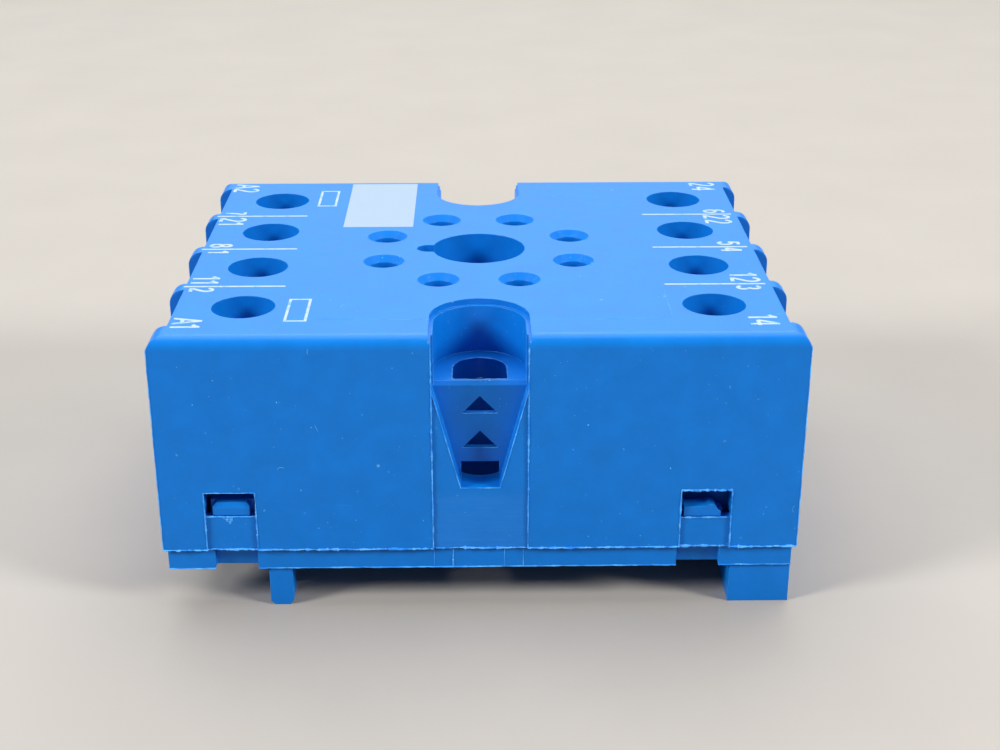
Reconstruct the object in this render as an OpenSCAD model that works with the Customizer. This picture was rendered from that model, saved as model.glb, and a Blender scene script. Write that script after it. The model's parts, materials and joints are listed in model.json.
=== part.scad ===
// Eight-pin relay socket with rising box clamps, for a panel or a 35 mm rail.
// +Z is up, the origin is on the surface the socket stands on, under the centre
// of the pin circle, and the shown front face looks along -Y.
// A deck carries the pin circle and the driver holes; a snap-in base closes the
// housing from below and carries the feet, the rail hooks and a sprung latch.

/* [Housing] */
// Width across the barrier ribs
body_w = 50.2; // [50.2:0.2:62]
// Depth from the front face to the rear face
body_d = 42; // [42:0.5:52]
// Height of the moulded housing, from its lower rim to the deck
housing_h = 18; // [18:0.5:24]
// Thickness of the front and rear walls
wall_t = 1.6; // [1.2:0.1:2]
// Thickness of the deck
deck_t = 1.8; // [1.4:0.1:2.4]
// Thickness of the barrier ribs between the wire entries
rib_t = 1.5; // [1:0.1:2]
// How far the barrier ribs stand proud of the side walls
rib_reach = 1.25; // [0.8:0.05:1.6]
// Radius of the upper outer corners of the ribs
rib_round = 1.2; // [0.6:0.1:1.6]
// Radius of the front and rear edges of the deck
edge_round = 1; // [0.4:0.1:1.5]

/* [Pin circle] */
// Diameter of the circle that the eight pins stand on
pin_circle_d = 17.45; // [17:0.05:21]
// Diameter of a pin hole
pin_hole_d = 2.5; // [2.4:0.05:3]
// Diameter of the lead-in round a pin hole
pin_lead_d = 3.5; // [3.2:0.1:4]
// Diameter of the hole for the guide post
post_hole_d = 8; // [7.6:0.1:9]
// Width of the key slot beside the post hole
key_w = 1.8; // [1:0.1:2]
// How far the key slot reaches beyond the post hole
key_reach = 1.35; // [1:0.05:2]

/* [Terminals] */
// Distance between neighbouring terminals
terminal_pitch = 9.5; // [9.5:0.1:10.5]
// Distance of the screw axis from the outside of the ribs
terminal_inset = 6.55; // [6.4:0.05:7]
// Diameter of the driver hole over a screw
driver_hole_d = 5; // [4.6:0.1:5.2]
// Nominal diameter of a terminal screw
screw_d = 3; // [2.5:0.1:3.5]
// Diameter of a screw head
head_d = 5.4; // [5:0.1:6]
// Height of a screw head
head_h = 2; // [1.6:0.1:2.4]
// Width of a box clamp, across the wire
clamp_w = 6.2; // [5.8:0.1:6.6]
// Length of a box clamp, along the wire
clamp_l = 5.2; // [4.8:0.1:5.6]
// Thickness of the sides of a box clamp
clamp_side_t = 0.9; // [0.7:0.05:1]
// Thickness of the jaw under the wire
clamp_jaw_t = 1; // [0.8:0.1:1.3]
// Thickness of the threaded top of a box clamp
clamp_nut_t = 2; // [1.6:0.1:2.4]
// Height of the mouth for the wire when the clamp is open
mouth_h = 4.2; // [3.6:0.1:4.6]
// Gap that is left when the clamp is fully closed
closed_gap = 0.6; // [0.3:0.1:1]

/* [Contacts] */
// Thickness of a contact strip
strip_t = 0.8; // [0.6:0.1:1]
// Width of a contact strip
strip_w = 3.6; // [3:0.1:4]
// Inner diameter of a contact sleeve
sleeve_d = 2.4; // [2.3:0.05:2.6]
// Wall of a contact sleeve
sleeve_t = 0.45; // [0.35:0.05:0.6]

/* [Fixing screws] */
// Distance between the two fixing screws
fixing_pitch = 33; // [32:0.1:34]
// Diameter of a fixing hole
fixing_hole_d = 4.3; // [3.4:0.1:4.6]
// Width of the notch that takes the head of a fixing screw
notch_w = 7.2; // [6.6:0.1:7.6]
// Depth of that notch below the deck
notch_h = 4.4; // [3.6:0.1:5.5]
// Width of the shallow step round the notch
notch_step = 0.3; // [0.2:0.05:0.5]
// Thickness of the plate in front of a fixing hole
plate_t = 0.5; // [0.4:0.1:0.8]

/* [Base] */
// Height of the base skirt below the housing
skirt_h = 1.8; // [1.5:0.1:2.5]
// Height of the feet below the skirt
foot_h = 3.45; // [3.1:0.05:4.5]
// How far the skirt lies inside the housing's outline
skirt_setback = 0.3; // [0.2:0.05:0.5]
// Places of the snap windows across the front and rear walls
window_x = [-19.6, 17.75]; // [-20:0.05:20]
// Width of a snap window
window_w = 4; // [3.6:0.1:4.6]
// Width of a snap arm
arm_w = 3.4; // [2.8:0.1:3.5]
// Thickness of a snap arm
arm_t = 1; // [0.8:0.05:1.1]

/* [Rail mounting] */
// Width of the mounting rail
rail_w = 35; // [34.7:0.1:35.3]
// Thickness of the rail's rim
rail_t = 1; // [1:0.1:1.2]
// How far the rail's middle lies from the pin circle's centre
rail_shift = 2.4; // [2:0.05:3]
// Grip of each hook under the rail's rim
hook_grip = 1.1; // [0.8:0.1:1.4]
// Width of the rail latch's body
latch_w = 14; // [12:0.5:16]

/* [Hidden] */
$fn = 64;
eps = 0.01;           // keeps a cut clear of the face it starts from
cut_over = 1;         // overshoot of a through cut

slide_gap = 0.3;      // round the moving clamps and their screws' heads
fit_gap = 0.15;       // between base and housing, and latch and guides
seat_gap = 0.05;      // under and over the contact strips, and in the thread

pin_count = 8;
rows = [-1.5, -0.5, 0.5, 1.5];
sides = [-1, 1];

rim_z = foot_h + skirt_h;
deck_z = rim_z + housing_h;
deck_under_z = deck_z - deck_t;
side_x = body_w / 2 - rib_reach;
front_y = body_d / 2;
cavity_y = front_y - wall_t;
terminal_x = body_w / 2 - terminal_inset;
bay_w = terminal_pitch - rib_t;

// Levels of a terminal, from the base up
floor_gap = 0.4;
clamp_z = rim_z + floor_gap;
mouth_z = clamp_z + clamp_jaw_t;
strip_z = mouth_z + mouth_h;
strip_top_z = strip_z + strip_t;
nut_z = strip_top_z + slide_gap;
nut_top_z = nut_z + clamp_nut_t;
clamp_travel = mouth_h - closed_gap;
chamber_top_z = nut_top_z + clamp_travel + slide_gap;
head_z = chamber_top_z;
screw_tip_z = strip_top_z + seat_gap;

// Chambers for the clamps, and the wall between them and the middle
chamber_l = clamp_l + 2 * slide_gap;
chamber_w = clamp_w + 2 * slide_gap;
block_wall_t = 1.75;
block_x = terminal_x - chamber_l / 2 - block_wall_t;
clamp_inner_w = clamp_w - 2 * clamp_side_t;
entry_gap = 0.1;
entry_w = clamp_inner_w + 2 * entry_gap;
entry_h = mouth_h + 2 * entry_gap;
entry_z = mouth_z - entry_gap;
funnel_l = 1.2;
funnel_flare = 0.9;

// Contact block round the pin circle
sleeve_r = sleeve_d / 2 + sleeve_t;
pocket_r = sleeve_r + slide_gap;
post_wall_t = 1.2;
block_r = pin_circle_d / 2 + pocket_r + post_wall_t;
pin_lead_h = 0.55;
elbow_x = block_x - 0.9;
heel_l = 2;           // strip behind the middle of its sleeve
strip_end_gap = 0.2;
slit_w = 0.4;
slit_foot = 1;

// Slots across a screw's head
slot_t = 0.8;
slot_deep = 1.1;
cross_l = 3.2;

// Fixing screws
fixing_y = fixing_pitch / 2;
fixing_r = fixing_hole_d / 2;
fixing_flat_y = fixing_y + fixing_r + seat_gap;
plate_y = fixing_flat_y + plate_t;
ledge_z = deck_z - notch_h;
notch_step_h = 0.5;
notch_wall_t = 1.2;
boss_r = fixing_r + 1.3;
panel_h = 12.7;
panel_low_z = deck_z - panel_h;
panel_chamfer = 0.3;
panel_low_w = 3.1;
panel_high_w = notch_w + notch_step;
arrow_w = 2.8;
arrow_h = 1.45;
arrow_drop = [7.05, 10];
slot_w = 3;
slot_h = 1.5;
strip_panel_t = 0.1;

// Snap windows and arms
window_h = 5.05;
window_top_z = rim_z + window_h;
bridge_h = [2.9, 2.55];
bridge_t = 0.95;
bridge_setback = 0.15;
arm_y = front_y - bridge_t - fit_gap;
arm_shift = [0.05, 0.25];
skirt_gap_x = [-19.4, 17.3];   // middles of the gaps in the skirt below the arms
nose_reach = 0.85;
nose_h = 1.1;
nose_edge_h = 0.65;   // height of the nose's outer edge
nose_slope = 0.25;    // how far that edge's slope runs in
nose_w = 2.9;
nose_corner = 0.3;
worn_arm_h = 0.3;
// Broken edge of the worn nose, from its right end: place across it and height
worn_edge = [[nose_w / 2, 0.38], [1.2, 0.58], [0.95, 1], [0.6, 1.05], [0.3, 0.9], [-nose_w / 2, 0.82]];

// Ribs and posts on the base, inside the housing
base_deep = skirt_h / 2;
rib_clear = 1.4;
rib_rise = 1.4;
locating_t = 1;
post_lip = 0.4;
pin_room_d = pin_hole_d + 2 * fit_gap;

// Feet, hooks and latch
rail_left_x = rail_shift - rail_w / 2;
rail_right_x = rail_shift + rail_w / 2 + seat_gap;
skirt_x = body_w / 2 - skirt_setback;
skirt_y = front_y - skirt_setback;
post_w = 1.85;
post_l = 2.2;
foot_setback = 0.15;  // of a foot's front face from the skirt's
bevel = 0.35;
hook_l = 22;
hook_top_z = foot_h - rail_t - fit_gap;
hook_low_z = 0.9;
hook_slope = 0.9;
latch_low_z = 1.3;
latch_top_z = foot_h - fit_gap;
latch_out_x = 0.5 - body_w / 2;
flange_w = 1;
flange_t = 0.8;
guide_t = 1.2;
guide_low_z = 0.4;
guide_end = 0.6;      // from the latch's outer end, and from the rail
jaw_l = 1;
driver_slot = [0.9, 3.2];
spring_t = 0.3;
spring_h = 1.4;
spring_r = 3.5;
spring_wall_t = 2.4;
spring_bay_x = rail_left_x - spring_wall_t;
peg_l = 1;
peg_x = spring_bay_x - spring_r - spring_t - peg_l;

blue = "DodgerBlue";
brass = "Goldenrod";
steel = "Silver";

// Numbering runs front to rear on the left side, then front to rear on the right
terminals = [for (s = sides) for (k = rows) [s, k]];
terminal_names = [for (i = [1:len(terminals)]) str(i)];

// The pin that belongs to a terminal: the outer rows serve the pins nearest the middle
function pin_angle(side, row) =
    let (first = 180 / pin_count, a = (abs(row) > 1 ? 3 : 1) * first)
    side > 0 ? sign(row) * a : 180 - sign(row) * a;
function pin_at(t) =
    let (a = pin_angle(t[0], t[1])) pin_circle_d / 2 * [cos(a), sin(a)];
function screw_at(t) = [t[0] * terminal_x, t[1] * terminal_pitch];

// Unit vector from a to b, and its left-hand normal
function along(a, b) = (b - a) / norm(b - a);
function left_of(d) = [-d[1], d[0]];

// Outline of a strip of width w through three points, mitred at the middle one
function mitred_strip(a, b, c, w) =
    let (
        d1 = along(a, b),
        d2 = along(b, c),
        n1 = left_of(d1) * w / 2,
        n2 = left_of(d2) * w / 2,
        m = (n1 + n2) / (1 + n1 * n2 / pow(w / 2, 2))
    )
    [a + n1, b + m, c + n2, c - n2, b - m, a - n1];

module box(low, high) {
    translate(low) cube(high - low);
}

// Stands an XZ profile up and runs it from y = -depth/2 to depth/2
module along_y(depth) {
    translate([0, depth / 2, 0]) rotate([90, 0, 0]) linear_extrude(depth) children();
}

// Stands a YZ profile up and runs it from x = -width/2 to width/2
module along_x(width) {
    translate([-width / 2, 0, 0]) rotate([90, 0, 90]) linear_extrude(width) children();
}

// Repeats a shape that is drawn for the front at the rear
module front_and_rear() {
    children();
    mirror([0, 1, 0]) children();
}

// Rectangle of width w and height h with its two upper corners rounded
module rounded_top(w, h, r) {
    difference() {
        translate([-w / 2, 0]) square([w, h]);
        for (s = sides)
            translate([s * (w / 2 - r), h - r])
                difference() {
                    translate([s > 0 ? 0 : -r - cut_over, 0]) square(r + cut_over);
                    circle(r);
                }
    }
}

// Bay between two barrier ribs, from the side wall outwards
module bays(reach, low_z, high_z) {
    for (t = terminals) {
        x = t[0] > 0 ? side_x - reach : -side_x - rib_reach - cut_over;
        translate([x, t[1] * terminal_pitch - bay_w / 2, low_z])
            cube([rib_reach + reach + cut_over, bay_w, high_z - low_z]);
    }
}

module housing_envelope() {
    difference() {
        translate([0, 0, rim_z])
            intersection() {
                along_y(body_d) rounded_top(body_w, housing_h, rib_round);
                along_x(body_w) rounded_top(body_d, housing_h, edge_round);
            }
        bays(0, rim_z - cut_over, deck_z + cut_over);
    }
}

// Middle of the housing, hollow round the contact block and the fixing bosses
module middle_cavity() {
    difference() {
        box([-block_x, -cavity_y, rim_z - cut_over], [block_x, cavity_y, deck_under_z]);
        translate([0, 0, strip_top_z + seat_gap]) cylinder(r = block_r, h = housing_h);
        translate([0, 0, rim_z]) cylinder(r = post_hole_d / 2 + post_wall_t, h = housing_h);
        front_and_rear() {
            translate([0, -fixing_y, rim_z]) cylinder(r = boss_r, h = housing_h);
            box([-boss_r, -front_y, rim_z], [boss_r, -fixing_y, deck_z]);
            box([-wall_t / 2, -fixing_y, strip_top_z + seat_gap], [wall_t / 2, 0, deck_z]);
            notch_walls();
        }
    }
}

// Wall that stays round the notch for a fixing screw's head
module notch_walls() {
    r = notch_w / 2 + notch_step + notch_wall_t;
    low_z = ledge_z - notch_wall_t;
    translate([0, -fixing_y, low_z]) cylinder(r = r, h = housing_h);
    box([-r, -front_y, low_z], [r, -fixing_y, deck_z]);
}

// Room for one clamp and its screw, open below, with the driver hole above
module terminal_chamber() {
    box([-chamber_l / 2, -chamber_w / 2, rim_z - cut_over],
        [chamber_l / 2, chamber_w / 2, chamber_top_z]);
    cylinder(d = head_d + slide_gap, h = head_z + head_h + slide_gap);
    cylinder(d = driver_hole_d, h = deck_z + cut_over);
}

// Way for the wire through the side wall, flared outside
module wire_entry() {
    wall_x = side_x - terminal_x;
    box([0, -entry_w / 2, entry_z], [wall_x + cut_over, entry_w / 2, entry_z + entry_h]);
    intersection() {
        translate([0, 0, entry_z - funnel_flare])
            linear_extrude(entry_h + 2 * funnel_flare)
                flare(wall_x, entry_w);
        translate([0, 0, entry_z + entry_h / 2])
            rotate([90, 0, 0])
                linear_extrude(2 * entry_w, center = true)
                    flare(wall_x, entry_h);
    }
}

// Plan of the flare: as wide as the way inside, wider at the outer face
module flare(wall_x, w) {
    inner = w / 2;
    outer = inner + funnel_flare;
    polygon([
        [wall_x - funnel_l, -inner],
        [wall_x, -outer],
        [wall_x + cut_over, -outer],
        [wall_x + cut_over, outer],
        [wall_x, outer],
        [wall_x - funnel_l, inner]
    ]);
}

// Slot through which a contact strip reaches into its chamber
module strip_slot() {
    w = strip_w + 2 * slide_gap;
    box([-chamber_l / 2 - block_wall_t - cut_over, -w / 2, rim_z - cut_over],
        [0, w / 2, strip_top_z + seat_gap]);
}

module terminal_cuts() {
    for (t = terminals)
        translate([screw_at(t)[0], screw_at(t)[1], 0])
            mirror([t[0] > 0 ? 0 : 1, 0, 0]) {
                terminal_chamber();
                wire_entry();
                strip_slot();
            }
}

module pin_cuts() {
    for (t = terminals)
        translate([pin_at(t)[0], pin_at(t)[1], 0]) {
            translate([0, 0, rim_z]) cylinder(r = pocket_r, h = deck_under_z - rim_z);
            cylinder(d = pin_hole_d, h = deck_z + cut_over);
            translate([0, 0, deck_z - pin_lead_h])
                cylinder(d1 = pin_hole_d, d2 = pin_lead_d, h = pin_lead_h + eps);
        }
    translate([0, 0, rim_z - cut_over]) cylinder(d = post_hole_d, h = housing_h + 2 * cut_over);
    key_end = post_hole_d / 2 + key_reach - key_w / 2;
    translate([-key_end, 0, rim_z]) cylinder(d = key_w, h = housing_h + cut_over);
    box([-key_end, -key_w / 2, rim_z], [0, key_w / 2, deck_z + cut_over]);
}

// Notch, bore, sloping panel and windows round one fixing screw
module fixing_cuts() {
    translate([0, -fixing_y, ledge_z]) cylinder(d = notch_w, h = notch_h + cut_over);
    box([-notch_w / 2, -front_y - cut_over, ledge_z], [notch_w / 2, -fixing_y, deck_z + cut_over]);
    translate([0, -fixing_y, deck_z - notch_step_h])
        cylinder(r = notch_w / 2 + notch_step, h = notch_step_h + cut_over);
    box([-notch_w / 2 - notch_step, -front_y - cut_over, deck_z - notch_step_h],
        [notch_w / 2 + notch_step, -fixing_y, deck_z + cut_over]);
    translate([0, -fixing_y, rim_z - cut_over]) cylinder(r = fixing_r, h = housing_h);
    box([-fixing_r, -fixing_flat_y, panel_low_z], [fixing_r, -fixing_y, deck_z]);
    panel_recess();
    for (drop = arrow_drop) panel_window(deck_z - drop) arrow();
    panel_window(panel_low_z) translate([-slot_w / 2, 0]) square([slot_w, slot_h]);
    box([-panel_high_w / 2, -front_y - cut_over, rim_z - cut_over],
        [panel_high_w / 2, -front_y + strip_panel_t, deck_z + cut_over]);
}

module panel_recess() {
    translate([0, -plate_y, 0]) rotate([90, 0, 0]) linear_extrude(front_y)
        polygon([
            [-panel_low_w / 2, panel_low_z],
            [panel_low_w / 2, panel_low_z],
            [panel_high_w / 2, ledge_z],
            [panel_high_w / 2, deck_z],
            [-panel_high_w / 2, deck_z],
            [-panel_high_w / 2, ledge_z]
        ]);
    // Chamfer along the upper edge of the plate
    corner = panel_chamfer + cut_over;
    along_x(notch_w)
        polygon([
            [-plate_y - cut_over, ledge_z - corner],
            [-plate_y + corner, ledge_z + cut_over],
            [-plate_y - cut_over, ledge_z + cut_over]
        ]);
}

module panel_window(z) {
    translate([0, -fixing_y, z]) rotate([90, 0, 0]) linear_extrude(front_y) children();
}

module arrow() {
    polygon([[-arrow_w / 2, 0], [arrow_w / 2, 0], [0, arrow_h]]);
}

// Pocket for a snap arm, and the window over its bridge that the nose stands in
module snap_cuts(side) {
    pocket_y = arm_y - arm_t - slide_gap;
    translate([window_x[side], 0, 0]) {
        box([-window_w / 2, -front_y + bridge_t, rim_z - cut_over],
            [window_w / 2, -pocket_y, window_top_z]);
        box([-window_w / 2, -front_y - cut_over, rim_z + bridge_h[side]],
            [window_w / 2, -pocket_y, window_top_z]);
        box([-window_w / 2, -front_y - cut_over, rim_z - cut_over],
            [window_w / 2, -front_y + bridge_setback, window_top_z]);
    }
}

module housing() {
    color(blue)
        difference() {
            housing_envelope();
            middle_cavity();
            terminal_cuts();
            pin_cuts();
            front_and_rear() {
                fixing_cuts();
                for (side = [0, 1]) snap_cuts(side);
            }
        }
}

module skirt() {
    difference() {
        box([-skirt_x, -skirt_y, foot_h], [skirt_x, skirt_y, rim_z]);
        bays(skirt_setback, foot_h - cut_over, rim_z + cut_over);
        front_and_rear()
            for (side = [0, 1])
                translate([skirt_gap_x[side], 0, 0])
                    box([-arm_w / 2, -front_y, foot_h - cut_over],
                        [arm_w / 2, -arm_y, rim_z + cut_over]);
    }
}

function arm_x(side) = window_x[side] - sides[side] * arm_shift[side];

// Snap arm with its nose over the bridge below a window
module snap_arm(side, worn = false) {
    nose_z = rim_z + bridge_h[side] + seat_gap;
    translate([arm_x(side), -arm_y, 0]) {
        box([-arm_w / 2, 0, foot_h], [arm_w / 2, arm_t, nose_z + (worn ? worn_arm_h : nose_h - seat_gap)]);
        translate([0, 0, nose_z])
            if (worn) worn_nose(); else snap_nose();
    }
}

// Nose with a lead-in slope on top and cut corners
module snap_nose() {
    end = nose_w / 2;
    intersection() {
        along_x(nose_w)
            polygon([
                [-nose_reach, 0],
                [-nose_reach, nose_edge_h],
                [nose_slope - nose_reach, nose_h - seat_gap],
                [arm_t / 2, nose_h - seat_gap],
                [arm_t / 2, 0]
            ]);
        rotate([90, 0, 0]) linear_extrude(2 * (nose_reach + cut_over), center = true)
            polygon([
                [-end, 0],
                [end, 0],
                [end, nose_h - nose_corner],
                [end - nose_corner, nose_h],
                [nose_corner - end, nose_h],
                [-end, nose_h - nose_corner]
            ]);
    }
}

// Nose with its upper edge broken off, down to the arm behind it
module worn_nose() {
    translate([0, arm_t / 2, 0]) rotate([90, 0, 0]) linear_extrude(nose_reach + arm_t / 2)
        polygon(concat([[-nose_w / 2, 0], [nose_w / 2, 0]], worn_edge));
}

// Ribs on the base that stand inside the front and rear walls
module locating_ribs() {
    for (s = sides) {
        x0 = boss_r + rib_clear;
        x1 = block_x - fit_gap;
        translate([s > 0 ? x0 : -x1, -cavity_y + fit_gap, rim_z - base_deep])
            cube([x1 - x0, locating_t, base_deep + rib_rise]);
    }
}

// Posts that carry the contacts under their sleeves and beside their clamps
module contact_posts() {
    low_z = rim_z - base_deep;
    h = strip_z - seat_gap - low_z;
    for (t = terminals) {
        translate([pin_at(t)[0], pin_at(t)[1], low_z])
            difference() {
                cylinder(r = sleeve_r + post_lip, h = h);
                translate([0, 0, base_deep]) cylinder(d = pin_room_d, h = h);
            }
        wide = block_wall_t - 2 * fit_gap;
        x = block_x + fit_gap;
        translate([t[0] > 0 ? x : -x - wide, t[1] * terminal_pitch - strip_w / 2, low_z])
            cube([wide, strip_w, h]);
    }
}

module front_post() {
    x = rail_left_x + seat_gap - post_w / 2;
    translate([x, -skirt_y + post_l, 0]) rotate([90, 0, 0]) linear_extrude(post_l - foot_setback)
        bevelled_foot(post_w, rim_z - base_deep);
}

module bevelled_foot(w, h) {
    polygon([
        [-w / 2 + bevel, 0],
        [w / 2 - bevel, 0],
        [w / 2, bevel],
        [w / 2, h],
        [-w / 2, h],
        [-w / 2, bevel]
    ]);
}

// Long foot on the right, with the fixed hook that takes the rail's rim
module hook_foot() {
    foot_y = skirt_y - foot_setback;
    box([rail_right_x, -foot_y, 0], [skirt_x, foot_y, rim_z - base_deep]);
    along_y(hook_l)
        polygon([
            [rail_right_x - hook_grip, hook_top_z],
            [rail_right_x + eps, hook_top_z],
            [rail_right_x + eps, hook_low_z],
            [rail_right_x - hook_grip + hook_slope, hook_low_z],
            [rail_right_x - hook_grip, hook_top_z - bevel]
        ]);
}

// Guide beside the latch, with a lip under the latch's flange
module latch_guide() {
    y = latch_w / 2 + flange_w + fit_gap;
    x0 = latch_out_x + guide_end;
    x1 = rail_left_x - guide_end;
    box([x0, y, guide_low_z], [x1, y + guide_t, rim_z - base_deep]);
    box([x0, latch_w / 2 + fit_gap, guide_low_z], [x1, y + eps, latch_low_z - fit_gap]);
}

module base() {
    color(blue)
        difference() {
            union() {
                skirt();
                contact_posts();
                hook_foot();
                for (side = [0, 1]) {
                    snap_arm(side, worn = side == 1);
                    mirror([0, 1, 0]) snap_arm(side);
                }
                front_and_rear() {
                    locating_ribs();
                    front_post();
                    latch_guide();
                }
                box([peg_x, -latch_w / 4, latch_low_z], [peg_x + peg_l, latch_w / 4, rim_z - base_deep]);
            }
            front_and_rear()
                translate([0, -fixing_y, foot_h - cut_over])
                    cylinder(r = fixing_r, h = skirt_h + 2 * cut_over);
        }
}

// Sliding latch: jaw towards the rail, spring bay, and a slot for a screwdriver
module rail_latch() {
    lip_x = rail_left_x + hook_grip;
    color(blue)
        difference() {
            union() {
                along_y(latch_w)
                    polygon([
                        [latch_out_x, latch_low_z],
                        [latch_out_x, latch_top_z],
                        [rail_left_x - fit_gap, latch_top_z],
                        [rail_left_x - fit_gap, hook_top_z],
                        [lip_x, hook_top_z],
                        [lip_x, hook_top_z - bevel],
                        [lip_x - hook_slope, hook_low_z],
                        [rail_left_x - jaw_l, hook_low_z],
                        [rail_left_x - jaw_l, latch_low_z]
                    ]);
                box([latch_out_x, -latch_w / 2 - flange_w, latch_low_z],
                    [rail_left_x - jaw_l, latch_w / 2 + flange_w, latch_low_z + flange_t]);
            }
            bay_x = peg_x - 2 * fit_gap;
            bay_y = spring_r + spring_t + slide_gap;
            box([bay_x, -bay_y, latch_low_z - cut_over],
                [spring_bay_x, bay_y, latch_top_z + cut_over]);
            slot_x = latch_out_x + guide_end;
            box([slot_x, -driver_slot[1] / 2, latch_low_z - cut_over],
                [slot_x + driver_slot[0], driver_slot[1] / 2, latch_top_z + cut_over]);
        }
}

// Bent steel strip between the base's peg and the latch
module latch_spring() {
    color(steel)
        translate([spring_bay_x - seat_gap, 0, latch_low_z + (latch_top_z - latch_low_z - spring_h) / 2])
            rotate([0, 0, 90])
                rotate_extrude(angle = 180)
                    translate([spring_r - spring_t / 2, 0]) square([spring_t, spring_h]);
}

// Stamped contact: sleeve for a relay pin, strip, and the bar inside the clamp
module contact(t) {
    pin = pin_at(t);
    elbow = [t[0] * elbow_x, t[1] * terminal_pitch];
    tip = [t[0] * (terminal_x + clamp_l / 2 - strip_end_gap), t[1] * terminal_pitch];
    heel = pin - along(pin, elbow) * heel_l;
    color(brass)
        difference() {
            union() {
                translate([0, 0, strip_z]) linear_extrude(strip_t)
                    polygon(mitred_strip(heel, elbow, tip, strip_w));
                translate([pin[0], pin[1], strip_z + strip_t / 2])
                    cylinder(r = sleeve_r, h = deck_under_z - slide_gap - strip_z - strip_t / 2);
            }
            translate([pin[0], pin[1], strip_z - cut_over]) cylinder(d = sleeve_d, h = housing_h);
            // Slit that lets the sleeve grip the pin
            translate([pin[0], pin[1], strip_top_z + slit_foot])
                rotate([0, 0, atan2(pin[1], pin[0])])
                    translate([0, -slit_w / 2, 0]) cube([sleeve_r + cut_over, slit_w, housing_h]);
        }
}

// Rising box clamp: threaded top, open along the wire
module clamp(t) {
    h = nut_top_z - clamp_z;
    color(steel)
        translate([screw_at(t)[0], screw_at(t)[1], clamp_z])
            difference() {
                translate([-clamp_l / 2, -clamp_w / 2, 0]) cube([clamp_l, clamp_w, h]);
                translate([-clamp_l, -clamp_inner_w / 2, clamp_jaw_t])
                    cube([2 * clamp_l, clamp_inner_w, nut_z - mouth_z]);
                translate([0, 0, h / 2]) cylinder(d = screw_d + 2 * seat_gap, h = h);
            }
}

module screw(t) {
    color(steel)
        translate([screw_at(t)[0], screw_at(t)[1], 0])
            difference() {
                union() {
                    translate([0, 0, screw_tip_z]) cylinder(d = screw_d, h = head_z - screw_tip_z + eps);
                    translate([0, 0, head_z]) cylinder(d = head_d, h = head_h);
                }
                for (size = [[2 * head_d, slot_t], [slot_t, cross_l]])
                    translate([-size[0] / 2, -size[1] / 2, head_z + head_h - slot_deep])
                        cube([size[0], size[1], slot_deep + cut_over]);
            }
}

housing();
base();
rail_latch();
latch_spring();
for (i = [0:len(terminals) - 1]) {
    contact(terminals[i]);
    clamp(terminals[i]);
    screw(terminals[i]);
}
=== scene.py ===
"""Relay socket: finishes, print, mould flash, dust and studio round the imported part."""
import json
import math
import random

import bmesh
import bpy
from bpy.props import FloatProperty, FloatVectorProperty, IntProperty, PointerProperty
from bpy.types import Operator, Panel, PropertyGroup
from mathutils import Matrix, Vector


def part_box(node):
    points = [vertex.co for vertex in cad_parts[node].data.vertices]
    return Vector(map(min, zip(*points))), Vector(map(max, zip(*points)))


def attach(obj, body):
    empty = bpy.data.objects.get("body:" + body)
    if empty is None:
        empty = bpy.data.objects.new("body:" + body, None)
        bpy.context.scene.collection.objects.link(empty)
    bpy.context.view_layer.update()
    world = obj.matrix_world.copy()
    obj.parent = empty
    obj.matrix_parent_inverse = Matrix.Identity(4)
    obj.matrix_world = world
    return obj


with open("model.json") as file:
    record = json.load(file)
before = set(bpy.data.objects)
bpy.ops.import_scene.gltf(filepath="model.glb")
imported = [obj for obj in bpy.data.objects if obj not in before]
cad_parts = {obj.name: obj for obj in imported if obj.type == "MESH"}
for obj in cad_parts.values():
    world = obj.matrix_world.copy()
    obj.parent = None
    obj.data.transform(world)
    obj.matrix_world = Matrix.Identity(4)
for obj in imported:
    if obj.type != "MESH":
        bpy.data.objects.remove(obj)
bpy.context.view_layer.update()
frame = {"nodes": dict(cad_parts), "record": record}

bl_info = {
    "name": "Relay socket",
    "version": (1, 0, 0),
    "blender": (4, 5, 0),
    "location": "3D View > Sidebar > Relay socket",
    "description": "Finishes, print, mould flash and studio for a relay socket",
    "category": "Object",
}

MM = 0.001
TOUCH = 0.02 * MM       # how near a point lies to the plane that it belongs to

HOUSING_LOW, HOUSING_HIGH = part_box("housing")
DECK_Z = HOUSING_HIGH.z
RIM_Z = HOUSING_LOW.z
FRONT_Y = HOUSING_HIGH.y
TERMINALS = range(1, 9)
FIRST_SCREW, SECOND_SCREW = (sum(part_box(f"screw_{i}"), Vector()) / 2 for i in (1, 2))
COLUMN_X = abs(FIRST_SCREW.x)
PITCH = SECOND_SCREW.y - FIRST_SCREW.y
STRIP_X = 3.75 * MM     # half the width of the strip below a screw notch
STRIP_Y = FRONT_Y - 0.1 * MM    # the strip's face
PANEL_Y = FRONT_Y - 1.8 * MM    # the face with the arrows, sunk in the strip


# ---------------------------------------------------------------- settings

def length(name, text, default):
    return FloatProperty(
        name=name, description=text, default=default * MM, subtype="DISTANCE", unit="LENGTH"
    )


def colour(name, text, default):
    return FloatVectorProperty(
        name=name, description=text, default=default, subtype="COLOR", size=3, min=0, max=1
    )


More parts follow.
